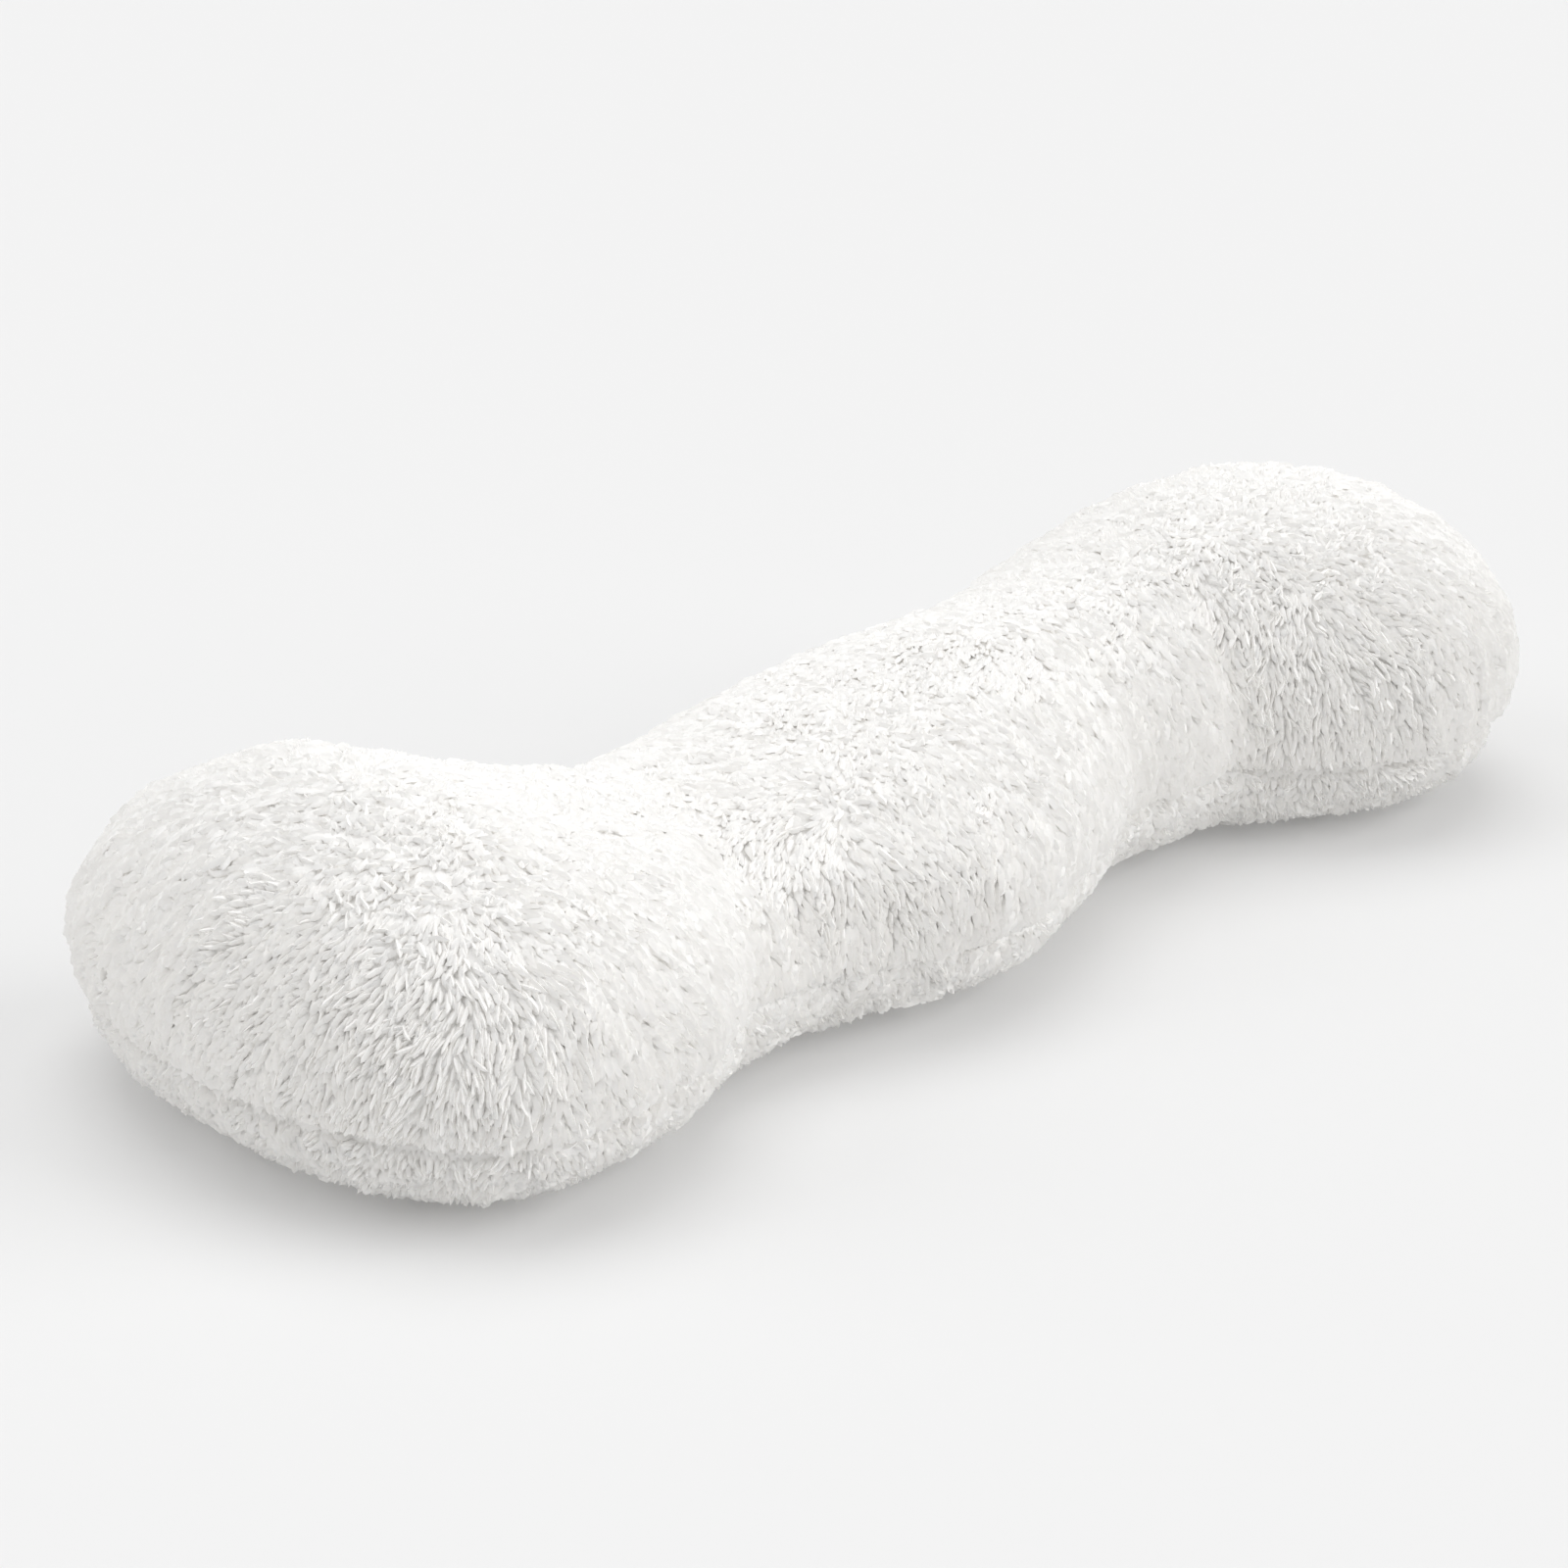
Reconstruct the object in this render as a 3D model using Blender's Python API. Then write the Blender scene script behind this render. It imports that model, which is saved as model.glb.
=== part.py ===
"""A body pillow of long white plush, lying on its lower panel.

Two plush panels of one outline are sewn together all round and filled. Each end
swells into a broad lobe, the middle into a smaller one, and two waists part them.
The upper panel takes up most of the filling, so its crown stands high and its sides
bulge out over the seam, which runs low round the pillow. The surface is the outer
reach of the pile. The pillow lies along X, with its crown up and its front at -Y.
All sizes are in metres.
"""

import math
from collections import namedtuple

import bmesh
import bpy
import numpy as np

# Length over both lobes. Everything else is measured on a pillow of this length.
LENGTH = 1.20

# Half widths of the front and the back edge, seen from above, from the near lobe
# through the waists to the far lobe. The first and last rows are the widest places
# of the end lobes, where the rounded ends begin.
Edge = namedtuple("Edge", "x half_width")
FRONT_EDGE = [
    Edge(-0.435, 0.226),
    Edge(-0.340, 0.214),
    Edge(-0.270, 0.191),
    Edge(-0.190, 0.171),
    Edge(-0.040, 0.192),
    Edge(0.100, 0.147),
    Edge(0.170, 0.113),
    Edge(0.280, 0.119),
    Edge(0.350, 0.152),
    Edge(0.435, 0.186),
]
BACK_EDGE = [
    Edge(-0.435, 0.258),
    Edge(-0.360, 0.230),
    Edge(-0.280, 0.170),
    Edge(-0.200, 0.136),
    Edge(-0.020, 0.151),
    Edge(0.120, 0.128),
    Edge(0.220, 0.164),
    Edge(0.330, 0.183),
    Edge(0.435, 0.200),
]

# Height of the crown along the middle of the pillow.
Crown = namedtuple("Crown", "x height")
CROWN = [
    Crown(-0.435, 0.237),
    Crown(-0.330, 0.203),
    Crown(-0.200, 0.172),
    Crown(-0.030, 0.193),
    Crown(0.100, 0.207),
    Crown(0.190, 0.205),
    Crown(0.270, 0.218),
    Crown(0.350, 0.234),
    Crown(0.435, 0.243),
]

# Height of the widest line round the pillow, above the seam.
Belly = namedtuple("Belly", "x height")
BELLY = [
    Belly(-0.435, 0.087),
    Belly(0.000, 0.086),
    Belly(0.435, 0.105),
]

# Height of the seam round the pillow. The waists pull it up a little.
Seam = namedtuple("Seam", "x height")
SEAM = [
    Seam(-0.585, 0.070),
    Seam(-0.500, 0.060),
    Seam(-0.210, 0.065),
    Seam(-0.100, 0.058),
    Seam(0.190, 0.068),
    Seam(0.275, 0.068),
    Seam(0.350, 0.061),
    Seam(0.435, 0.062),
]

# How far each rounded end reaches past the first or last row above, and how square
# its outline is: 2 is an ellipse, more is squarer.
End = namedtuple("End", "side reach squareness")
NEAR_END = End(-1, 0.153, 2.1)
FAR_END = End(1, LENGTH - (FRONT_EDGE[-1].x - FRONT_EDGE[0].x) - NEAR_END.reach, 2.25)

CROWN_SQUARENESS = 2.0
UNDERSIDE_SQUARENESS = 2.0
# The flat underside is this much smaller than the widest line, all round.
UNDERSIDE_INSET = 0.092

# The sewn channel that the seam pulls into the plush.
CHANNEL_HALF_WIDTH = 0.009
CHANNEL_DEPTH = 0.006

# Folds where the waists crumple the upper panel: where each starts at the edge and
# where it ends towards the crown, its depth, its half width, and the share of the
# way from the edge to the crown at which it has run out.
Fold = namedtuple("Fold", "side edge_x crown_x depth half_width climb")
FOLDS = [
    Fold(-1, -0.270, -0.200, 0.012, 0.032, 0.90),
    Fold(-1, 0.285, 0.268, 0.013, 0.042, 0.90),
]

# How finely the form is cut into faces.
SIDE_STEPS = 44
END_STEPS = 14
UPPER_STEPS = 14

PLUSH_COLOUR = (0.92, 0.92, 0.91, 1.0)
PLUSH_ROUGHNESS = 0.95


def slopes_through(x, y):
    """Slopes of a smooth curve that never overshoots its rows and is level at its ends."""
    run = np.diff(x)
    rise = np.diff(y) / run
    slope = np.zeros(len(x))
    for i in range(1, len(x) - 1):
        if rise[i - 1] * rise[i] > 0:
            before = 2 * run[i] + run[i - 1]
            after = run[i] + 2 * run[i - 1]
            slope[i] = (before + after) / (before / rise[i - 1] + after / rise[i])
    return slope


def along(rows, x):
    """The second column of a table at every x, on a smooth curve through its rows."""
    at, value = np.array(rows, float).T
    slope = slopes_through(at, value)
    x = np.clip(x, at[0], at[-1])
    row = np.clip(np.searchsorted(at, x, side="right") - 1, 0, len(at) - 2)
    run = at[row + 1] - at[row]
    t = (x - at[row]) / run
    return (
        (1 + 2 * t) * (1 - t) ** 2 * value[row]
        + t * (1 - t) ** 2 * run * slope[row]
        + t * t * (3 - 2 * t) * value[row + 1]
        + t * t * (t - 1) * run * slope[row + 1]
    )


def rounded_end(end, x, front, back):
    """Plan points of one rounded end, from its front corner to its back corner."""
    angle = np.linspace(-math.pi / 2, math.pi / 2, END_STEPS + 1)[1:-1]
    power = 2 / end.squareness
    reach = end.side * end.reach * np.cos(angle) ** power
    half_width = np.where(angle < 0, front, back)
    across = half_width * np.sign(angle) * np.abs(np.sin(angle)) ** power
    return np.column_stack([x + reach, across])


def plan():
    """The outline seen from above, front edge first, and for each of its points the
    point of the middle line that its section runs to."""
    x = np.linspace(FRONT_EDGE[0].x, FRONT_EDGE[-1].x, SIDE_STEPS + 1)
    front = along(FRONT_EDGE, x)
    back = along(BACK_EDGE, x)
    far = rounded_end(FAR_END, x[-1], front[-1], back[-1])
    near = rounded_end(NEAR_END, x[0], front[0], back[0])[::-1]
    edge = np.vstack(
        [
            np.column_stack([x, -front]),
            far,
            np.column_stack([x, back])[::-1],
            near,
        ]
    )
    middle_x = np.concatenate(
        [x, np.full(len(far), x[-1]), x[::-1], np.full(len(near), x[0])]
    )
    return edge, np.column_stack([middle_x, np.zeros(len(middle_x))])


def lower_ring(edge, inward, belly, height):
    """The lower side at these heights above the floor."""
    power = UNDERSIDE_SQUARENESS / 2
    sine = np.clip(1 - height / belly, 0, 1) ** power
    inset = UNDERSIDE_INSET * (1 - np.sqrt(1 - sine**2) ** (2 / UNDERSIDE_SQUARENESS))
    return np.column_stack([edge + inward * inset[:, None], height])


def channel(height, seam):
    """How deep the sewn channel is at these heights."""
    return CHANNEL_DEPTH * np.exp(-(((height - seam) / CHANNEL_HALF_WIDTH) ** 2) * 2)


def lower_heights(belly, seam):
    """Heights of the lower rings, bottom first: even steps below and above the seam,
    and three rings that follow the seam's channel."""
    half = CHANNEL_HALF_WIDTH
    below = [seam * share for share in (0.0, 0.10, 0.28, 0.52, 0.76)]
    at_seam = [seam - half, seam - half / 2, seam, seam + half / 2, seam + half]
    rest = belly - (seam + half)
    above = [seam + half + rest * share for share in (0.35, 0.70)]
    return below + at_seam + above


def fold_depth(share, foot_x, side):
    """How deep the waists' folds are at this share of the way from edge to crown."""
    depth = np.zeros(len(foot_x))
    for fold in FOLDS:
        if share >= fold.climb:
            continue
        fade = math.cos(share / fold.climb * math.pi / 2) ** 2
        centre = fold.edge_x + (fold.crown_x - fold.edge_x) * share
        bell = np.exp(-(((foot_x - centre) / fold.half_width) ** 2))
        depth += np.where(side == fold.side, fold.depth * fade * bell, 0.0)
    return depth


def rings():
    """The pillow's surface as rings of points, from the floor to the crown."""
    edge, middle = plan()
    to_middle = middle - edge
    inward = to_middle / np.linalg.norm(to_middle, axis=1)[:, None]
    foot_x = middle[:, 0]
    side = np.sign(edge[:, 1])
    belly = along(BELLY, edge[:, 0])
    seam = along(SEAM, edge[:, 0])
    crown = along(CROWN, foot_x)
    found = [np.column_stack([middle, np.zeros(len(middle))])]
    for height in lower_heights(belly, seam):
        ring = lower_ring(edge, inward, belly, height)
        dent = channel(height, seam) + fold_depth(0.0, foot_x, side) * height / belly
        ring[:, :2] += inward * dent[:, None]
        found.append(ring)
    for step in range(UPPER_STEPS + 1):
        turn = step / UPPER_STEPS * math.pi / 2
        power = 2 / CROWN_SQUARENESS
        share = 1 - max(math.cos(turn), 0.0) ** power
        rise = math.sin(turn) ** power
        dent = fold_depth(step / UPPER_STEPS, foot_x, side)
        plan_points = edge + to_middle * share + inward * (dent * math.cos(turn))[:, None]
        height = belly + (crown - belly) * rise - dent * math.sin(turn)
        found.append(np.column_stack([plan_points, height]))
    return found


def centred(found):
    """The rings moved so that the origin is under the middle of their box."""
    points = np.vstack(found)
    middle = (points.min(0) + points.max(0)) / 2
    return [ring - (middle[0], middle[1], 0.0) for ring in found]


def pillow_mesh(name):
    """One closed mesh: the rings joined to each other, closed along the middle line."""
    bm = bmesh.new()
    loops = [[bm.verts.new(point) for point in ring] for ring in centred(rings())]
    count = len(loops[0])
    for low, high in zip(loops, loops[1:]):
        for i in range(count):
            j = (i + 1) % count
            bm.faces.new((low[i], low[j], high[j], high[i]))
    bmesh.ops.remove_doubles(bm, verts=bm.verts, dist=0.00001)
    bmesh.ops.recalc_face_normals(bm, faces=bm.faces)
    mesh = bpy.data.meshes.new(name)
    bm.to_mesh(mesh)
    bm.free()
    mesh.shade_smooth()
    return mesh


def plush_material():
    """Matt white plush."""
    material = bpy.data.materials.new("plush")
    material.use_nodes = True
    shader = material.node_tree.nodes["Principled BSDF"]
    shader.inputs["Base Color"].default_value = PLUSH_COLOUR
    shader.inputs["Roughness"].default_value = PLUSH_ROUGHNESS
    shader.inputs["Metallic"].default_value = 0.0
    return material


def body_pillow():
    """Both panels, their seam and the filling, as one filled solid."""
    pillow = bpy.data.objects.new("body_pillow", pillow_mesh("body_pillow"))
    bpy.context.scene.collection.objects.link(pillow)
    pillow.data.materials.append(plush_material())
    return pillow


for old in list(bpy.data.objects):
    bpy.data.objects.remove(old, do_unlink=True)
body_pillow()
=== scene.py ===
# %% [markdown]
# # A body pillow of long white plush
# The pillow is a filled cover: an upper and a lower panel of one outline, sewn together
# low down all round. Two things have to be made. One is the cover, a soft padded form
# with two waists. The other is the pile, the tens of thousands of small locks of fibre
# that stand on it, lean over and hide it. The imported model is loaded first, because it
# fixes where everything goes. It is never moved or changed.

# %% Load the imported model
import math
from collections import namedtuple

import bpy
import numpy as np
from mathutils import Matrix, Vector, kdtree, noise
from mathutils.bvhtree import BVHTree


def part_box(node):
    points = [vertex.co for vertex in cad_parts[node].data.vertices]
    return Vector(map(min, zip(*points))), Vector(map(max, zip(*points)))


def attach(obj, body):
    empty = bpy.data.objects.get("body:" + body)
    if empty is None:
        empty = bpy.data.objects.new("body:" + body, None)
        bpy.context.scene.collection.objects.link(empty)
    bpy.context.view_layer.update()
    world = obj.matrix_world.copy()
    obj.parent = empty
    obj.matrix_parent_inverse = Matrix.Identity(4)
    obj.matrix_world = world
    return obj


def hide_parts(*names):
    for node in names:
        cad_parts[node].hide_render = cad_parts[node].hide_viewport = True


NODE = "body_pillow"
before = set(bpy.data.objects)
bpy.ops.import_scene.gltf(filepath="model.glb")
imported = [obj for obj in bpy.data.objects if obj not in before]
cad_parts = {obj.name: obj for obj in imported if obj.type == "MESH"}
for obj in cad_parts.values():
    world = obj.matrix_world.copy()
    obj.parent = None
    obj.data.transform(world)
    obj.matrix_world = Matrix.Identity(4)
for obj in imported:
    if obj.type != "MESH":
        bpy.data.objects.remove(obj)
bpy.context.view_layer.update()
low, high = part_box(NODE)
print("pillow of", [round(side, 3) for side in high - low], "m")

# %% [markdown]
# ## The camera
# A long lens from far away keeps the near lobe from looking swollen. The camera looks
# down at about 21 degrees, from beyond the near end and in front of the pillow. Its
# place is worked out from two angles, a distance and the point that it looks at, which
# is easier to change than a bare position.

# %% Place the camera
AZIMUTH = math.radians(-43.725)
ELEVATION = math.radians(21.36)
DISTANCE = 2.912
LOOK_AT = Vector((-0.0386, 0.0390, 0.100))
LENS_MM = 95.3
SENSOR_MM = 36.0

towards_camera = Vector(
    (
        math.sin(AZIMUTH) * math.cos(ELEVATION),
        -math.cos(AZIMUTH) * math.cos(ELEVATION),
        math.sin(ELEVATION),
    )
)
bpy.ops.object.camera_add(
    location=LOOK_AT + towards_camera * DISTANCE,
    rotation=towards_camera.to_track_quat("Z", "Y").to_euler(),
)
camera = bpy.context.object
camera.name = "camera"
camera.data.lens = LENS_MM
camera.data.sensor_width = SENSOR_MM
camera.data.dof.use_dof = False
bpy.context.scene.camera = camera
print("camera at", [round(value, 3) for value in camera.location])

# %% [markdown]
# ## Shader maths as expressions
# The surroundings and the materials are made of nodes. Adding each Math node by hand
# takes three lines and hides the formula. So one small class wraps a node's output and
# gives it plus, minus and times, and each operator adds the Math node that it stands
# for. Every other kind of node comes from the one method named node.


# %% A class that writes nodes
class Wire:
    """The output of a shader node, which can be used in an expression."""

    def __init__(self, tree, socket=None):
        self.tree = tree
        self.socket = socket

    def node(self, kind, settings, sockets, output=0):
        """Adds a node, sets it up, fills its sockets and wraps one of its outputs."""
        added = self.tree.nodes.new(kind)
        for name, value in settings.items():
            setattr(added, name, value)
        self.feed(added, sockets)
        return Wire(self.tree, added.outputs[output])

    def feed(self, target, sockets):
        """Links or sets the sockets of a node."""
        for name, value in sockets.items():
            if isinstance(value, Wire):
                self.tree.links.new(value.socket, target.inputs[name])
            else:
                target.inputs[name].default_value = value

    def maths(self, operation, first, second):
        """Adds a Math node."""
        return self.node("ShaderNodeMath", {"operation": operation}, {0: first, 1: second})

    def __add__(self, other):
        return self.maths("ADD", self, other)

    def __sub__(self, other):
        return self.maths("SUBTRACT", self, other)

    def __rsub__(self, other):
        return self.maths("SUBTRACT", other, self)

    def __mul__(self, other):
        return self.maths("MULTIPLY", self, other)

    __radd__ = __add__
    __rmul__ = __mul__


# %% [markdown]
# ## Floor and light
# A white thing on a pale floor is shaped only by how much light each side gets. Part of
# it comes from pale surroundings, which are brightest above. The rest comes from three
# wide soft lamps: one overhead, and one low on each side. None is near the camera, so
# the faces that look at it are the darkest, and the low lamps graze the pile and bring
# out its locks. The floor is a sheet that is lit faintly from below, as a light table
# is, so the shadow on it stays pale and short.

# %% Floor
FLOOR_SIZE = 60.0
FLOOR_COLOUR = (0.718, 0.718, 0.718, 1.0)
FLOOR_GLOW = 0.082

bpy.ops.object.select_all(action="DESELECT")
bpy.ops.mesh.primitive_plane_add(size=FLOOR_SIZE)
floor = bpy.context.object
floor.name = "floor"
paper = bpy.data.materials.new("floor_sheet")
paper.use_nodes = True
sockets = paper.node_tree.nodes["Principled BSDF"].inputs
sockets["Base Color"].default_value = FLOOR_COLOUR
sockets["Roughness"].default_value = 1.0
sockets["Specular IOR Level"].default_value = 0.0
sockets["Emission Color"].default_value = (1.0, 1.0, 1.0, 1.0)
sockets["Emission Strength"].default_value = FLOOR_GLOW
floor.data.materials.append(paper)
print("floor", FLOOR_SIZE, "m wide")

# %% Surroundings
EVEN_LIGHT = 0.27
BRIGHTER_TOWARDS = (-0.08, 0.0, 0.47)

world = bpy.data.worlds.new("surroundings")
world.use_nodes = True
sky = Wire(world.node_tree)
direction = sky.node("ShaderNodeTexCoord", {}, {}, "Generated")
towards = sky.node(
    "ShaderNodeVectorMath",
    {"operation": "DOT_PRODUCT"},
    {0: direction, 1: BRIGHTER_TOWARDS},
    "Value",
)
sky.feed(world.node_tree.nodes["Background"], {"Strength": towards + EVEN_LIGHT})
world.node_tree.nodes["Background"].inputs["Color"].default_value = (1.0, 1.0, 1.0, 1.0)
bpy.context.scene.world = world
print("light from all round:", EVEN_LIGHT)

# %% [markdown]
# White fibres pass light on to each other many times before it gets out. With Blender's
# usual four bounces the hollows between the locks would turn grey, so more are allowed.

# %% Lamps and bounces
Lamp = namedtuple("Lamp", "name azimuth elevation width strength")
LAMPS = [
    Lamp("lamp_right", -50, 26, 48, 1.25),
    Lamp("lamp_left", 135, 30, 48, 0.65),
    Lamp("lamp_overhead", 60, 75, 48, 0.90),
]
LAMP_DISTANCE = 3.0
WHITE_BOUNCES = 12

for lamp in LAMPS:
    azimuth, elevation = math.radians(lamp.azimuth), math.radians(lamp.elevation)
    from_lamp = Vector(
        (
            math.cos(azimuth) * math.cos(elevation),
            math.sin(azimuth) * math.cos(elevation),
            math.sin(elevation),
        )
    )
    bpy.ops.object.light_add(
        type="SUN",
        location=from_lamp * LAMP_DISTANCE,
        rotation=from_lamp.to_track_quat("Z", "Y").to_euler(),
    )
    light = bpy.context.object
    light.name = lamp.name
    light.data.angle = math.radians(lamp.width)
    light.data.energy = lamp.strength
bpy.context.scene.cycles.diffuse_bounces = WHITE_BOUNCES
bpy.context.scene.view_settings.view_transform = "Standard"
print("lamps:", [lamp.name for lamp in LAMPS])

# %% [markdown]
# ## The cover
# The cover could be modelled by hand as a smooth tube with waists, but a filled cover
# is never that even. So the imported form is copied, without the tags that mark it as
# packed, made smaller by the height of the pile, and given an even skin of small
# squares with a voxel remesh. The cloth solver then inflates it with no gravity. That
# pushes the cloth about by centimetres, and all but a few millimetres of it is taken
# back afterwards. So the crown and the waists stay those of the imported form, and the
# solver gives the surface its slight unevenness.


# %% Helpers for meshes
def points_of(piece):
    """The places of a mesh's vertices, as an array."""
    found = np.empty(len(piece.data.vertices) * 3, np.float32)
    piece.data.vertices.foreach_get("co", found)
    return found.reshape(-1, 3).astype(float)


def set_points(piece, places):
    """Puts a mesh's vertices at these places."""
    piece.data.vertices.foreach_set("co", places.astype(np.float32).ravel())
    piece.data.update()


def normals_of(piece):
    """The directions in which a mesh's vertices face, as an array."""
    found = np.empty(len(piece.data.vertices) * 3, np.float32)
    piece.data.vertex_normals.foreach_get("vector", found)
    return found.reshape(-1, 3).astype(float)


def choose(piece):
    """Makes a piece the only one selected, and the active one."""
    bpy.ops.object.select_all(action="DESELECT")
    piece.select_set(True)
    bpy.context.view_layer.objects.active = piece


def apply_all(piece):
    """Applies a piece's modifiers, so that none is left live."""
    choose(piece)
    for modifier in list(piece.modifiers):
        bpy.ops.object.modifier_apply(modifier=modifier.name)


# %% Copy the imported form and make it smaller
PILE_HEIGHT = 0.0034
SWELL = 0.006
SKIN_VOXEL = 0.011
MERGE_REACH = 0.0001

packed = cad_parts[NODE]
cover = packed.copy()
cover.data = cover.data.copy()
cover.name = cover.data.name = "cover"
cover.parent = None
for tag in list(cover.keys()):
    del cover[tag]
bpy.context.scene.collection.objects.link(cover)
choose(cover)
bpy.ops.object.mode_set(mode="EDIT")
bpy.ops.mesh.select_all(action="SELECT")
bpy.ops.mesh.remove_doubles(threshold=MERGE_REACH)
bpy.ops.transform.shrink_fatten(value=-(PILE_HEIGHT + SWELL))
bpy.ops.object.mode_set(mode="OBJECT")
cover.modifiers.new("skin", "REMESH").mode = "VOXEL"
cover.modifiers["skin"].voxel_size = SKIN_VOXEL
apply_all(cover)
bpy.ops.object.shade_smooth()
print("cover of", len(cover.data.vertices), "points before it is filled")

# %% Fill the cover with the cloth solver
FILL_FRAMES = 20
FILL_PRESSURE = 4.0
STIFFNESS = 60.0


def fill(piece):
    """Inflates a closed cover with no gravity."""
    cloth = piece.modifiers.new("filling", "CLOTH")
    cloth.settings.use_pressure = True
    cloth.settings.uniform_pressure_force = FILL_PRESSURE
    cloth.settings.tension_stiffness = STIFFNESS
    cloth.settings.compression_stiffness = STIFFNESS
    cloth.settings.shear_stiffness = STIFFNESS
    cloth.settings.effector_weights.gravity = 0.0
    cloth.point_cache.frame_start = 1
    cloth.point_cache.frame_end = FILL_FRAMES
    for step in range(1, FILL_FRAMES + 1):
        bpy.context.scene.frame_set(step)
    apply_all(piece)
    bpy.context.scene.frame_set(1)


fill(cover)
print("filled in", FILL_FRAMES, "frames")

# %% [markdown]
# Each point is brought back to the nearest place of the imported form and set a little
# under it: as deep as the pile is high, or up to 4 mm deeper where the solver drew it
# in. Under the pillow the pile is pressed flat by its weight, so the cover lies nearer
# to the floor there than it lies to the outside elsewhere.

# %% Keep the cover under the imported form
DRAWN_IN = 0.004
PRESSED_PILE = 0.0016
UNDERSIDE = (0.6, 0.9)
EVENING_ROUNDS = 4
SKIN_LEVELS = 1


def hold_under(piece, form):
    """Keeps a cover at the pile's height under a form, give or take what it draws in."""
    faces = [face.vertices for face in form.data.polygons]
    tree = BVHTree.FromPolygons([v.co for v in form.data.vertices], faces)
    places = points_of(piece)
    depths = np.zeros(len(places))
    for i, place in enumerate(places):
        near, normal, _, _ = tree.find_nearest(Vector(place))
        depths[i] = (near - Vector(place)).dot(normal)
        flat = np.interp(-normal.z, UNDERSIDE, (0.0, 1.0))
        least = PILE_HEIGHT + (PRESSED_PILE - PILE_HEIGHT) * flat
        kept = min(max(depths[i], least), least + DRAWN_IN)
        places[i] = np.array(near) - np.array(normal) * kept
    set_points(piece, places)
    return depths


depths = hold_under(cover, packed)
cover.modifiers.new("even", "SMOOTH").iterations = EVENING_ROUNDS
cover.modifiers.new("finer", "SUBSURF").levels = SKIN_LEVELS
cover.modifiers["finer"].render_levels = SKIN_LEVELS
apply_all(cover)
bpy.ops.object.shade_smooth()
print("it had been", (np.percentile(depths, [5, 50, 95]) * 1000).round(1), "mm inside")

# %% [markdown]
# ## The seam and the creases
# The two panels are sewn together in a plain seam that has sunk into the pile. There is
# no cord or ribbon in it, so it is a narrow furrow all round, low on the side. The
# waists pull it up a little, which a short table of heights along the pillow says. Each
# waist also gathers the upper panel in a crease that starts at the seam and runs out on
# the crown, and the near waist sinks in a wide hollow. All of these come after the
# remesh, which would have smoothed them away.

# %% Press the seam's furrow into the cover
Seam = namedtuple("Seam", "x height")
SEAM = [
    Seam(-0.597, 0.070),
    Seam(-0.512, 0.060),
    Seam(-0.222, 0.065),
    Seam(-0.112, 0.058),
    Seam(0.178, 0.068),
    Seam(0.263, 0.068),
    Seam(0.338, 0.061),
    Seam(0.423, 0.062),
]
FURROW_DEPTH = 0.006
FURROW_WIDTH = 0.0065
SIDE_FROM, SIDE_TO = 0.70, 0.85
seam_x, seam_height = np.array(SEAM, float).T


def above_seam(places):
    """How far places are above the seam's line, in metres."""
    return places[:, 2] - np.interp(places[:, 0], seam_x, seam_height)


places, normals = points_of(cover), normals_of(cover)
upright = np.interp(np.abs(normals[:, 2]), (SIDE_FROM, SIDE_TO), (1.0, 0.0))
nearness = np.exp(-((above_seam(places) / FURROW_WIDTH) ** 2)) * upright
places -= normals * (FURROW_DEPTH * nearness)[:, None]
print("furrow presses", int((nearness > 0.5).sum()), "points")

# %% Press the waists' creases
Crease = namedtuple("Crease", "depth half_width line")
CREASES = [
    Crease(
        0.011,
        0.040,
        [
            (-0.262, -0.200, 0.070),
            (-0.245, -0.165, 0.135),
            (-0.215, -0.110, 0.155),
            (-0.195, -0.040, 0.165),
            (-0.180, 0.020, 0.168),
        ],
    ),
    Crease(
        0.006,
        0.016,
        [
            (-0.290, -0.214, 0.070),
            (-0.293, -0.213, 0.098),
            (-0.282, -0.196, 0.122),
            (-0.264, -0.164, 0.140),
            (-0.238, -0.118, 0.152),
            (-0.225, -0.087, 0.159),
            (-0.210, -0.051, 0.164),
        ],
    ),
    Crease(
        0.008,
        0.018,
        [
            (0.271, -0.142, 0.067),
            (0.258, -0.132, 0.135),
            (0.262, -0.097, 0.184),
            (0.258, -0.028, 0.212),
        ],
    ),
]


def pressed_by(crease, places):
    """How deep a crease presses each place. It is deepest at the seam and runs out at
    its other end."""
    line = np.array(crease.line)
    gap = np.full(len(places), np.inf)
    along = np.zeros(len(places))
    for i, (start, end) in enumerate(zip(line, line[1:])):
        run = end - start
        share = np.clip((places - start) @ run / (run @ run), 0, 1)
        this_gap = np.linalg.norm(places - start - share[:, None] * run, axis=1)
        along = np.where(this_gap < gap, (i + share) / (len(line) - 1), along)
        gap = np.minimum(gap, this_gap)
    fade = np.cos(along * math.pi / 2)
    return crease.depth * fade * np.exp(-((gap / crease.half_width) ** 2))


for crease in CREASES:
    places -= normals * pressed_by(crease, places)[:, None]
set_points(cover, places)
print(len(CREASES), "creases")
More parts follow.
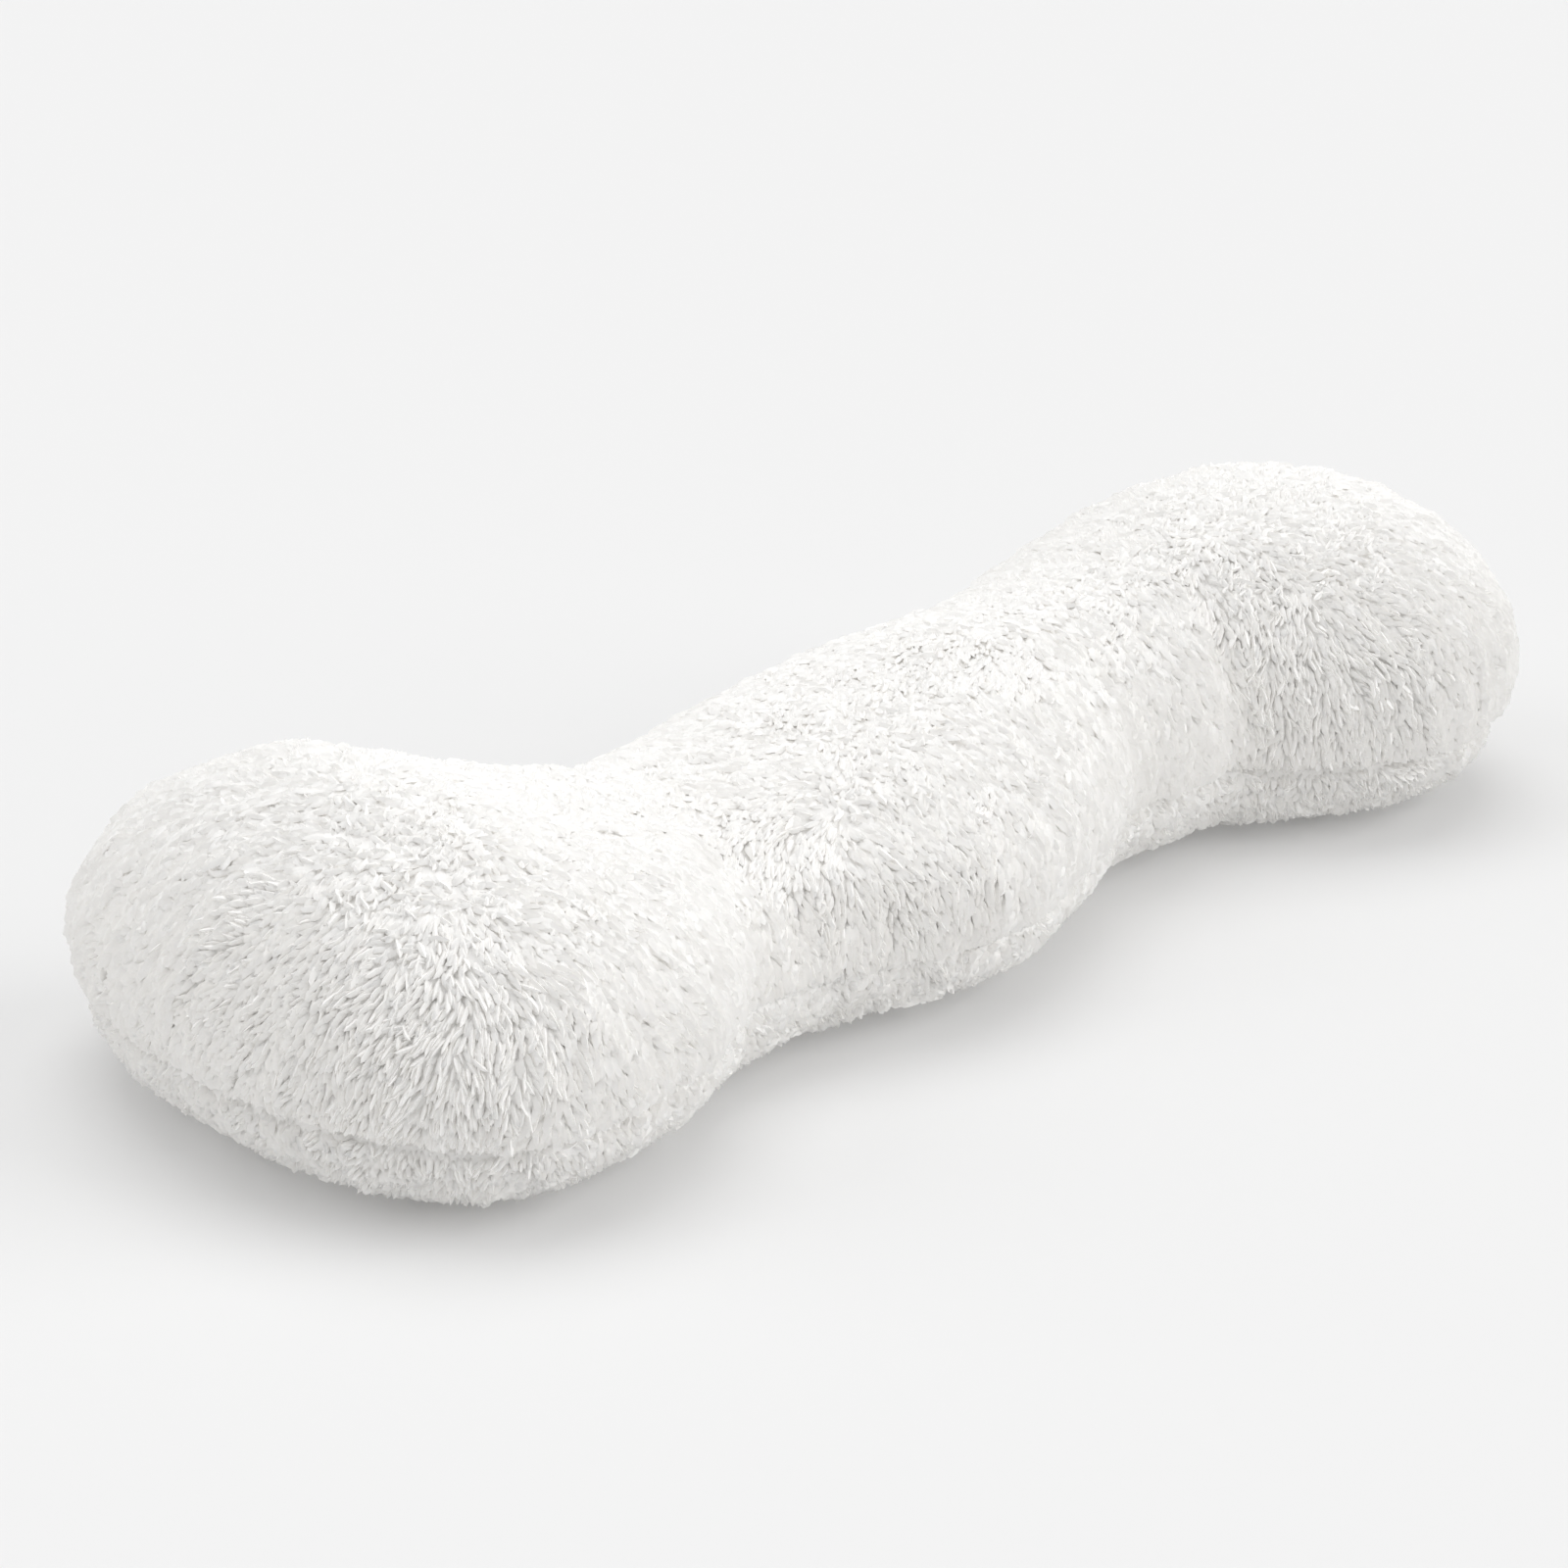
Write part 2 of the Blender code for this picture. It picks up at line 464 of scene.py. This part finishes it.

# %% [markdown]
# ## One lock of pile
# Plush is not a surface but a crowd. Its fibres cling together in locks, each a few
# millimetres wide, with a sunken root, a full middle and a tapered tip that leans over.
# A few locks are modelled one by one, with different curls, and then planted by the
# thousand, so each has only sixteen faces. A lock starts as a triangle with its ridge
# up, which is extruded along the way it lies and resized at each step.

# %% Model the locks
Step = namedtuple("Step", "forward rise aside width height")
LOCK_STYLES = {
    "straight": [
        Step(0.00, 0.10, 0.00, 0.60, 0.40),
        Step(0.36, 0.42, 0.02, 1.00, 0.78),
        Step(0.80, 0.40, 0.00, 0.80, 0.66),
        Step(1.00, 0.30, -0.04, 0.00, 0.00),
    ],
    "left_curl": [
        Step(0.00, 0.10, 0.00, 0.55, 0.40),
        Step(0.36, 0.42, 0.10, 1.00, 0.78),
        Step(0.77, 0.41, 0.00, 0.78, 0.66),
        Step(0.97, 0.32, -0.20, 0.00, 0.00),
    ],
    "right_curl": [
        Step(0.00, 0.10, 0.00, 0.55, 0.40),
        Step(0.36, 0.42, -0.10, 1.00, 0.78),
        Step(0.77, 0.39, 0.00, 0.78, 0.66),
        Step(0.97, 0.28, 0.20, 0.00, 0.00),
    ],
    "stubby": [
        Step(0.00, 0.10, 0.00, 0.65, 0.42),
        Step(0.30, 0.45, 0.00, 1.08, 0.80),
        Step(0.60, 0.46, 0.05, 0.80, 0.68),
        Step(0.82, 0.36, 0.06, 0.00, 0.00),
    ],
}
CORNERS = 3


def model_lock(name, steps):
    """A lock one unit long, one wide and one high, lying along X with its ridge up."""
    bpy.ops.object.select_all(action="DESELECT")
    first = steps[0]
    bpy.ops.mesh.primitive_circle_add(
        vertices=CORNERS,
        radius=0.5,
        fill_type="NGON",
        location=(first.forward, first.aside, first.rise),
        rotation=(math.pi / 2, 0, math.pi / 2),
    )
    lock = bpy.context.object
    lock.name = "lock_" + name
    bpy.ops.object.transform_apply(location=True, rotation=True, scale=False)
    bpy.ops.object.mode_set(mode="EDIT")
    bpy.ops.mesh.select_all(action="SELECT")
    bpy.ops.transform.resize(value=(1, first.width, first.height))
    for last, step in zip(steps, steps[1:]):
        move = (step.forward - last.forward, step.aside - last.aside, step.rise - last.rise)
        bpy.ops.mesh.extrude_region_move(TRANSFORM_OT_translate={"value": move})
        if step.width:
            grow = (1, step.width / last.width, step.height / last.height)
            bpy.ops.transform.resize(value=grow)
        else:
            bpy.ops.mesh.merge(type="CENTER")
    bpy.ops.mesh.select_all(action="SELECT")
    bpy.ops.mesh.quads_convert_to_tris()
    bpy.ops.mesh.normals_make_consistent(inside=False)
    bpy.ops.object.mode_set(mode="OBJECT")
    return lock


locks = [model_lock(name, steps) for name, steps in LOCK_STYLES.items()]
print("faces of each lock:", [len(lock.data.polygons) for lock in locks])


# %% [markdown]
# A lock also needs a flat map of its own, so that its fine fibres can be drawn on it
# when the materials are baked. The map is the lock unrolled: one side is how far along
# it a corner is, and the other how far round it. A tip has no side of its own, so it
# lies midway between its neighbours. At the root all corners are equally far along, so
# one of them is moved out to give that face a width.

# %% Unroll the locks
CAP_TIP = (-0.08, 0.5)
NEARLY_ZERO = 0.01
HALF_TURN = 0.5


def unrolled(lock, steps):
    """The map's place of each corner of each face of a lock."""
    centres = {round(step.forward, 3): (step.aside, step.rise) for step in steps}
    table = []
    for face in lock.data.polygons:
        corners = [lock.data.vertices[i].co for i in face.vertices]
        turns = []
        for x, y, z in corners:
            aside, rise = centres[round(x, 3)]
            reach = math.hypot(y - aside, z - rise)
            turn = math.atan2(y - aside, z - rise) / (2 * math.pi) % 1.0
            turns.append(None if reach < NEARLY_ZERO else turn)
        known = [turn for turn in turns if turn is not None]
        wraps = max(known) - min(known) > HALF_TURN
        known = [turn + 1.0 if wraps and turn < HALF_TURN else turn for turn in known]
        middle = sum(known) / len(known)
        known = iter(known)
        row = [
            (corner.x, middle if turn is None else next(known))
            for corner, turn in zip(corners, turns)
        ]
        if max(corner.x for corner in corners) < NEARLY_ZERO:
            row[0] = CAP_TIP
        table.append(row)
    return np.array(table)


lock_maps = [unrolled(lock, steps) for lock, steps in zip(locks, LOCK_STYLES.values())]
map_ends = lock_maps[0].min((0, 1)), lock_maps[0].max((0, 1))
print("map from", map_ends[0].round(2), "to", map_ends[1].round(2))

# %% [markdown]
# ## How the pile lies
# Pile falls the way a hand and its own weight have combed it: down the slope of each
# lobe, a little towards the nearest end. On the crests, where there is no slope, it
# has no direction and crumbles. So the direction is the slope, plus a lean that changes
# along the pillow and a slow wander, which only matter where the slope is slight. Each
# swell on the front also has a whorl, where the pile stands up a little, and two of the
# whorls part it to all sides.

# %% Comb the pile
Lean = namedtuple("Lean", "x along across")
LEANS = [
    Lean(-0.60, 0.15, 0.36),
    Lean(-0.45, 0.08, 0.22),
    Lean(-0.33, -0.06, 0.12),
    Lean(-0.15, -0.10, 0.00),
    Lean(0.05, -0.26, -0.12),
    Lean(0.15, -0.10, -0.04),
    Lean(0.30, 0.28, 0.20),
    Lean(0.45, 0.24, 0.10),
    Lean(0.60, 0.15, 0.08),
]
Whorl = namedtuple("Whorl", "place reach parting standing")
WHORLS = [
    Whorl((-0.530, -0.160, 0.150), 0.150, 0.00, 0.05),
    Whorl((-0.148, -0.126, 0.149), 0.095, 0.40, 0.06),
    Whorl((0.331, -0.135, 0.164), 0.100, 0.15, 0.06),
]
Drift = namedtuple("Drift", "seed scale strength")
WANDER = Drift(1, 14.0, 0.32)
TREMBLE = Drift(2, 55.0, 0.44)
CRUMPLE = Drift(3, 55.0, 1.6)
DRIFTS_APART = Vector((7.1, 3.7, 5.3))
DOWNWARD = -1.0
WHORL_EYE = 0.01
LEAST_PULL = 1e-6
lean_x, lean_along, lean_across = np.array(LEANS, float).T
noise.seed_set(1)


def drifted(places, drift):
    """A slow random vector for each place."""
    shift = DRIFTS_APART * drift.seed
    found = [noise.noise_vector(Vector(place) * drift.scale + shift) for place in places]
    return np.array(found) * drift.strength


def comb(places, normals):
    """The direction in which the pile lies at these places of the cover, and how
    strongly it is drawn that way."""
    way = np.column_stack(
        [
            np.interp(places[:, 0], lean_x, lean_along),
            np.interp(places[:, 0], lean_x, lean_across),
            np.full(len(places), DOWNWARD),
        ]
    )
    for whorl in WHORLS:
        away = places - whorl.place
        gap = np.linalg.norm(away, axis=1)[:, None]
        outward = away / np.maximum(gap, WHORL_EYE)
        way += outward * whorl.parting * np.exp(-((gap / whorl.reach) ** 2))
    way += drifted(places, WANDER) + drifted(places, TREMBLE)
    below = above_seam(places) < 0
    way[below] += drifted(places[below], CRUMPLE)
    way -= normals * (way * normals).sum(1)[:, None]
    pull = np.linalg.norm(way, axis=1)
    return way / np.maximum(pull, LEAST_PULL)[:, None], pull


def standing_at(places):
    """How far the whorls raise the pile at these places, as an angle."""
    raised = np.zeros(len(places))
    for whorl in WHORLS:
        gap = np.linalg.norm(places - whorl.place, axis=1)
        raised += whorl.standing * np.exp(-((gap / whorl.reach) ** 2))
    return raised


# %% [markdown]
# ## Strewing the roots
# Every lock needs a root. Roots are strewn over the cover at random, and any that falls
# too near another is dropped, which spaces them evenly without rows. Underneath, where
# nobody looks, they may stand further apart. None stands in the seam.

# %% Strew the roots
STREWN = 600000
SPACING = 0.0030
UNDER_SPACING = 0.0075
SEAM_GAP = 0.0022
UNDERNEATH = (0.75, 0.95)
SEED = 4
chance = np.random.default_rng(SEED)


def strewn(piece, count):
    """Random places on a mesh, evenly by area: the corners of the triangle that each is
    on, the share of each corner in it, and the mesh's area."""
    piece.data.calc_loop_triangles()
    corners = np.empty(len(piece.data.loop_triangles) * 3, np.int32)
    piece.data.loop_triangles.foreach_get("vertices", corners)
    corners = corners.reshape(-1, 3)
    places = points_of(piece)
    a, b, c = (places[corners[:, k]] for k in range(3))
    area = np.linalg.norm(np.cross(b - a, c - a), axis=1) / 2
    chosen = chance.choice(len(corners), count, p=area / area.sum())
    u, v = chance.random((2, count))
    over = u + v > 1
    u[over], v[over] = 1 - u[over], 1 - v[over]
    parts = np.column_stack([1 - u - v, u, v])[:, :, None]
    return corners[chosen], parts, area.sum()


def between(values, corners, parts):
    """Values of a mesh's points, worked out for places on its triangles."""
    return (values[corners] * parts).sum(1)


def tree_of(places):
    """A search tree of places."""
    tree = kdtree.KDTree(len(places))
    for i, place in enumerate(places):
        tree.insert(place, i)
    tree.balance()
    return tree


def apart(places, distances):
    """The indices of places that keep their distance from each other."""
    tree = tree_of(places)
    free = np.ones(len(places), bool)
    kept = []
    for i, place in enumerate(places):
        if free[i]:
            kept.append(i)
            for _, other, _ in tree.find_range(place, distances[i]):
                free[other] = False
    return np.array(kept)


corners, parts, cover_area = strewn(cover, STREWN)
roots = between(points_of(cover), corners, parts)
facing = between(normals_of(cover), corners, parts)
facing /= np.linalg.norm(facing, axis=1)[:, None]
under = np.interp(-facing[:, 2], UNDERNEATH, (0.0, 1.0))
kept = apart(roots, SPACING + (UNDER_SPACING - SPACING) * under)
kept = kept[np.abs(above_seam(roots[kept])) > SEAM_GAP]
roots, facing, under = roots[kept], facing[kept], under[kept]
corners, parts = corners[kept], parts[kept]
print(len(roots), "roots on", round(cover_area, 3), "square metres")

# %% [markdown]
# ## Streams in the pile
# Neighbouring locks cling together, so combed plush shows long thin grooves that run
# with the pile. A random height for each root would give crumbs. Averaging it again and
# again with the roots onward and backward along the comb draws it out into streams. The
# cover is raised and lowered by them, its roots with it, and the locks between two
# streams turn towards the higher one.

# %% Gather the pile in streams
STREAM = Drift(5, 75.0, 1.0)
STREAM_STEP = 0.008
STREAM_ROUNDS = 7
STREAM_RELIEF = 0.0011
STREAM_LIMIT = 2
GATHER_REACH = 0.005
GATHER_TURN = 0.16
LEAST_HEIGHT = 0.0002


def nearest_root(tree, places):
    """The index of the root that is nearest to each place."""
    return np.array([tree.find(place)[1] for place in places])


root_tree = tree_of(roots)
lies, pull = comb(roots, facing)
across = np.cross(facing, lies)
onward = nearest_root(root_tree, roots + lies * STREAM_STEP)
backward = nearest_root(root_tree, roots - lies * STREAM_STEP)
stream = drifted(roots, STREAM)[:, 0]
for _ in range(STREAM_ROUNDS):
    stream = (stream + stream[onward] + stream[backward]) / 3
stream = np.clip(stream / stream.std(), -STREAM_LIMIT, STREAM_LIMIT)
left = nearest_root(root_tree, roots + across * GATHER_REACH)
right = nearest_root(root_tree, roots - across * GATHER_REACH)
gather = np.clip(stream[left] - stream[right], -STREAM_LIMIT, STREAM_LIMIT)
places, normals = points_of(cover), normals_of(cover)
raised = stream[nearest_root(root_tree, places)] * STREAM_RELIEF
places += normals * raised[:, None]
places[:, 2] = np.maximum(places[:, 2], LEAST_HEIGHT)
set_points(cover, places)
roots = between(places, corners, parts)
print("streams from", stream.min().round(2), "to", stream.max().round(2))

# %% [markdown]
# ## Turning and sizing the locks
# No two locks are alike. Each is turned along the comb, more or less, tipped up off the
# cover and rolled. Where the comb hardly pulls, the turns are wild, and that makes the
# crumbs on the crests. Locks on steep sides stand higher than those on top, and those
# underneath are pressed flat and wide. Above the seam they end just past it, like
# thatch at the eaves, and in the band below it they are shorter.

# %% Turn the locks
CALM_PULL = 0.6
TURN, LOOSE_TURN = 0.20, 2.2
LIFT = 0.065
PITCH, LOOSE_PITCH = 0.06, 0.04
ROLL = 0.16


def turned(first, second, angle):
    """Two directions turned towards each other by an angle for each lock."""
    cosine, sine = np.cos(angle)[:, None], np.sin(angle)[:, None]
    return first * cosine + second * sine, second * cosine - first * sine


count = len(roots)
calm = np.clip(pull / CALM_PULL, 0, 1)
turn = chance.normal(0, 1, count) * (TURN + LOOSE_TURN * (1 - calm) ** 2)
lies, across = turned(lies, across, turn + GATHER_TURN * gather)
pitch = LIFT * (1 - under) + LOOSE_PITCH * (1 - calm) + standing_at(roots)
pitch += chance.normal(0, PITCH, count)
lies, facing = turned(lies, facing, pitch)
across, facing = turned(across, facing, chance.normal(0, ROLL, count))
print("mean pitch", round(math.degrees(pitch.mean()), 1), "degrees")

# %% Size the locks
LOCK_LENGTH, LENGTH_SPREAD = 0.0150, (0.75, 1.25)
LOCK_WIDTH, WIDTH_SPREAD = 0.0048, (0.75, 1.25)
LOCK_HEIGHT, HEIGHT_SPREAD = 0.0064, (0.80, 1.15)
LOOSE_LENGTH, CALM_GAIN = 0.8, 0.2
LEVEL_TO_STEEP = (0.45, 0.95)
LEVEL_HEIGHT, STEEP_HEIGHT = 0.78, 1.15
PRESSED_FLATTER, PRESSED_WIDER = 0.5, 0.5
SEAM_OVERHANG, OVERHANG_SPREAD = 0.0008, (0.5, 1.5)
LEAST_FALL = 0.2
LEAST_LENGTH = 0.0065
BAND_LENGTH = 0.7
HALF_UNDER = 0.5

length = LOCK_LENGTH * chance.uniform(*LENGTH_SPREAD, count)
length *= LOOSE_LENGTH + CALM_GAIN * calm
steep = np.interp(facing[:, 2], LEVEL_TO_STEEP, (1.0, 0.0))
height = LOCK_HEIGHT * chance.uniform(*HEIGHT_SPREAD, count) * (1 - PRESSED_FLATTER * under)
height *= LEVEL_HEIGHT + (STEEP_HEIGHT - LEVEL_HEIGHT) * steep
width = LOCK_WIDTH * chance.uniform(*WIDTH_SPREAD, count) * (1 + PRESSED_WIDER * under)
style = chance.integers(0, len(locks), count)
overhang = SEAM_OVERHANG * chance.uniform(*OVERHANG_SPREAD, count)
above = above_seam(roots)
to_seam = above / np.maximum(-lies[:, 2], LEAST_FALL) + overhang
ended = np.minimum(length, np.maximum(to_seam, LEAST_LENGTH))
length = np.where(above > 0, ended, length)
length[(above < 0) & (under < HALF_UNDER)] *= BAND_LENGTH
print("locks", (length.min() * 1000).round(1), "to", (length.max() * 1000).round(1), "mm")

# %% [markdown]
# ## Planting the locks
# An object for every lock would choke Blender. So the points of all the locks of one
# shape are worked out at once, and a few big meshes are made of them. Each point also
# keeps its place on its own lock, which the finish needs, and each lock gets a cell of
# its own on the piece's flat map.

# %% Place the locks of one shape
SINK = 0.0018
LOCK_NUMBERS = 997
MAP_MARGIN, MAP_CELL = 0.14, 1.44

lock_points = [points_of(lock) for lock in locks]
lock_faces = [np.array([face.vertices[:] for face in lock.data.polygons]) for lock in locks]


def placed(kind, mine):
    """The points of the chosen locks, all of one shape. Each point also gets its place
    on its own lock, with the lock's number, and its share of the way to the tip."""
    shape = lock_points[kind]
    x = shape[None, :, 0] * length[mine, None]
    y = shape[None, :, 1] * width[mine, None]
    z = shape[None, :, 2] * height[mine, None] - SINK
    made = (
        roots[mine, None, :]
        + x[:, :, None] * lies[mine, None, :]
        + y[:, :, None] * across[mine, None, :]
        + z[:, :, None] * facing[mine, None, :]
    )
    made[:, :, 2] = np.maximum(made[:, :, 2], LEAST_HEIGHT)
    number = np.broadcast_to((mine % LOCK_NUMBERS).astype(float)[:, None], x.shape)
    tip = np.broadcast_to(shape[None, :, 0], x.shape)
    return made.reshape(-1, 3), np.stack([x, y, number], 2).reshape(-1, 3), tip.ravel()


def mapped(kind, cells, first, count):
    """The map's places of the corners of some locks of one shape, each in its cell."""
    cell = first + np.arange(count)
    corner = np.stack([cell % cells, cell // cells], 1)[:, None, None, :]
    inside = (lock_maps[kind] + MAP_MARGIN) / MAP_CELL
    return ((corner + inside[None]) / cells).reshape(-1, 2)


print("points of each lock:", [len(points) for points in lock_points])

# %% Plant the locks
PIECES = 5
LOCK_EDGE = math.radians(100)


def plant(name, chosen):
    """One mesh of the locks whose roots are chosen."""
    cells = math.ceil(math.sqrt(len(chosen)))
    all_points, all_faces, fibres, tips, maps, start, planted = [], [], [], [], [], 0, 0
    for kind, faces in enumerate(lock_faces):
        mine = chosen[style[chosen] == kind]
        made, fibre, tip = placed(kind, mine)
        offsets = start + np.arange(len(mine)) * len(lock_points[kind])
        all_points.append(made)
        all_faces.append((faces[None] + offsets[:, None, None]).reshape(-1, 3))
        fibres.append(fibre)
        tips.append(tip)
        maps.append(mapped(kind, cells, planted, len(mine)))
        start += len(made)
        planted += len(mine)
    mesh = bpy.data.meshes.new(name)
    mesh.from_pydata(np.vstack(all_points), [], np.vstack(all_faces))
    mesh.attributes.new("fibre", "FLOAT_VECTOR", "POINT").data.foreach_set(
        "vector", np.vstack(fibres).astype(np.float32).ravel()
    )
    mesh.attributes.new("tip", "FLOAT", "POINT").data.foreach_set(
        "value", np.concatenate(tips).astype(np.float32)
    )
    mesh.uv_layers.new(name="OFBake").data.foreach_set(
        "uv", np.vstack(maps).astype(np.float32).ravel()
    )
    mesh.shade_smooth()
    mesh.set_sharp_from_angle(angle=LOCK_EDGE)
    piece = bpy.data.objects.new(name, mesh)
    bpy.context.scene.collection.objects.link(piece)
    return piece


order = np.argsort(roots[:, 0])
pile = [
    plant("pile_%d" % (i + 1), share)
    for i, share in enumerate(np.array_split(order, PIECES))
]
for lock in locks:
    bpy.data.objects.remove(lock)
print("triangles of pile:", [len(piece.data.polygons) for piece in pile])

# %% [markdown]
# ## The plush's finish
# Plush is matt, but not flat: each lock is a bundle of fibres, so fine ridges run along
# it, and no two locks are quite the same white. Each lock is also painted darker towards
# its root and in the grooves between its ridges, which is painted shade deep in the pile.
# The ridges are noise that is squeezed across the lock and drawn out along it. It reads
# the lock's own sizes, which were stored on its points, so the ridges turn with it.

# %% Material of the pile
# Of these whites, the first is painted shade at the roots of the locks, and also the darker
# tone of the cover's fuzz. The third is the darker tone of some locks, and painted shade in
# the grooves between their strands.
ROOT_SHADE_AND_FUZZ_WHITE = (0.935, 0.926, 0.909, 1.0)
TIP_WHITE = (0.988, 0.981, 0.969, 1.0)
TONE_AND_GROOVE_SHADE_WHITE = (0.945, 0.936, 0.919, 1.0)
STRANDS = (90.0, 900.0, 3.7)
STRAND_RELIEF = 0.0004
NOISE_DETAIL = 2.0
LOCKS_DIFFER = 0.5
# How strongly painted shade darkens the grooves between strands.
PAINTED_GROOVE_SHADE = 0.4
PLUSH_ROUGHNESS = (0.82, 0.95)
PLUSH_SPECULAR = 0.2
PLUSH_SHEEN = 0.25
MIX_SHARE, MIX_FIRST, MIX_SECOND, MIX_COLOUR = 0, 6, 7, 2


def new_material(name):
    """A new material, the writer of its nodes, and its shader."""
    material = bpy.data.materials.new(name)
    material.use_nodes = True
    shader = material.node_tree.nodes["Principled BSDF"]
    shader.inputs["Specular IOR Level"].default_value = PLUSH_SPECULAR
    shader.inputs["Sheen Weight"].default_value = PLUSH_SHEEN
    return material, Wire(material.node_tree), shader


def mixed(wire, share, first, second):
    """A colour between two colours. A Mix node has sockets for every kind of value, so
    the ones for colours are named by their numbers."""
    settings = {"data_type": "RGBA", "clamp_factor": True}
    values = {MIX_SHARE: share, MIX_FIRST: first, MIX_SECOND: second}
    return wire.node("ShaderNodeMix", settings, values, MIX_COLOUR)


def pile_material():
    """White locks with ridges along them, each lock a little different, with painted shade
    towards the root and in the grooves.
    """
    material, wire, shader = new_material("plush_pile")
    fibre = wire.node("ShaderNodeAttribute", {"attribute_name": "fibre"}, {}, "Vector")
    tip = wire.node("ShaderNodeAttribute", {"attribute_name": "tip"}, {}, "Fac")
    drawn = wire.node(
        "ShaderNodeVectorMath", {"operation": "MULTIPLY"}, {0: fibre, 1: STRANDS}
    )
    strands = wire.node(
        "ShaderNodeTexNoise", {}, {"Vector": drawn, "Scale": 1.0, "Detail": NOISE_DETAIL}
    )
    number = wire.node("ShaderNodeSeparateXYZ", {}, {0: fibre}, "Z")
    shade = wire.node(
        "ShaderNodeTexWhiteNoise", {"noise_dimensions": "1D"}, {"W": number}, "Value"
    )
    # Painted shade: each lock darkens from its tip towards its root.
    own = mixed(wire, tip, ROOT_SHADE_AND_FUZZ_WHITE, TIP_WHITE)
    colour = mixed(wire, shade * LOCKS_DIFFER, own, TONE_AND_GROOVE_SHADE_WHITE)
    # Painted shade in the grooves between the strands.
    colour = mixed(wire, (1 - strands) * PAINTED_GROOVE_SHADE, colour, TONE_AND_GROOVE_SHADE_WHITE)
    low, high = PLUSH_ROUGHNESS
    ridges = {"Height": strands, "Strength": 1.0, "Distance": STRAND_RELIEF}
    bump = wire.node("ShaderNodeBump", {}, ridges)
    wire.feed(
        shader,
        {
            "Base Color": colour,
            "Roughness": strands * (high - low) + low,
            "Normal": bump,
        },
    )
    return material


plush = pile_material()
for piece in pile:
    piece.data.materials.append(plush)
print("pile material of", len(plush.node_tree.nodes), "nodes")

# %% [markdown]
# Between the locks the cover shows in places: the same white, but short and fuzzy. Its
# seam is painted darker, which is painted shade in the furrow where the panels' edges
# turn in and no fibre stands.

# %% Material of the cover
FUZZ_SCALE = 700.0
FUZZ_RELIEF = 0.0004
# Painted shade along the seam's furrow, and how far from the seam it reaches.
PAINTED_SEAM_SHADE = (0.84, 0.83, 0.81, 1.0)
SHADE_BAND_WIDTH = 0.0022

cover.data.attributes.new("above_seam", "FLOAT", "POINT").data.foreach_set(
    "value", above_seam(points_of(cover)).astype(np.float32)
)


def cover_material():
    """White fuzz, with painted shade along the seam."""
    material, wire, shader = new_material("plush_ground")
    place = wire.node("ShaderNodeTexCoord", {}, {}, "Object")
    fuzz = wire.node(
        "ShaderNodeTexNoise",
        {},
        {"Vector": place, "Scale": FUZZ_SCALE, "Detail": NOISE_DETAIL},
    )
    above = wire.node("ShaderNodeAttribute", {"attribute_name": "above_seam"}, {}, "Fac")
    gap = wire.maths("ABSOLUTE", above, 0.0)
    # A band along the seam, darkened below as painted shade.
    line = wire.node(
        "ShaderNodeMapRange",
        {"interpolation_type": "SMOOTHSTEP"},
        {
            "Value": gap,
            "From Min": SHADE_BAND_WIDTH / 2,
            "From Max": SHADE_BAND_WIDTH,
            "To Min": 1.0,
            "To Max": 0.0,
        },
    )
    colour = mixed(wire, fuzz, ROOT_SHADE_AND_FUZZ_WHITE, TIP_WHITE)
    # Painted shade in the seam's furrow.
    colour = mixed(wire, line, colour, PAINTED_SEAM_SHADE)
    low, high = PLUSH_ROUGHNESS
    grain = {"Height": fuzz, "Strength": 1.0, "Distance": FUZZ_RELIEF}
    bump = wire.node("ShaderNodeBump", {}, grain)
    wire.feed(
        shader,
        {"Base Color": colour, "Roughness": fuzz * (high - low) + low, "Normal": bump},
    )
    return material


cover.data.materials.clear()
cover.data.materials.append(cover_material())
print("cover's material on", len(cover.data.polygons), "faces")

# %% [markdown]
# ## Attach the pieces to the body
# Every piece rides on the pillow's one body. The imported solid is hidden, and the
# cover shows in its place.

for piece in pile + [cover]:
    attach(piece, "root")
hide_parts(NODE)
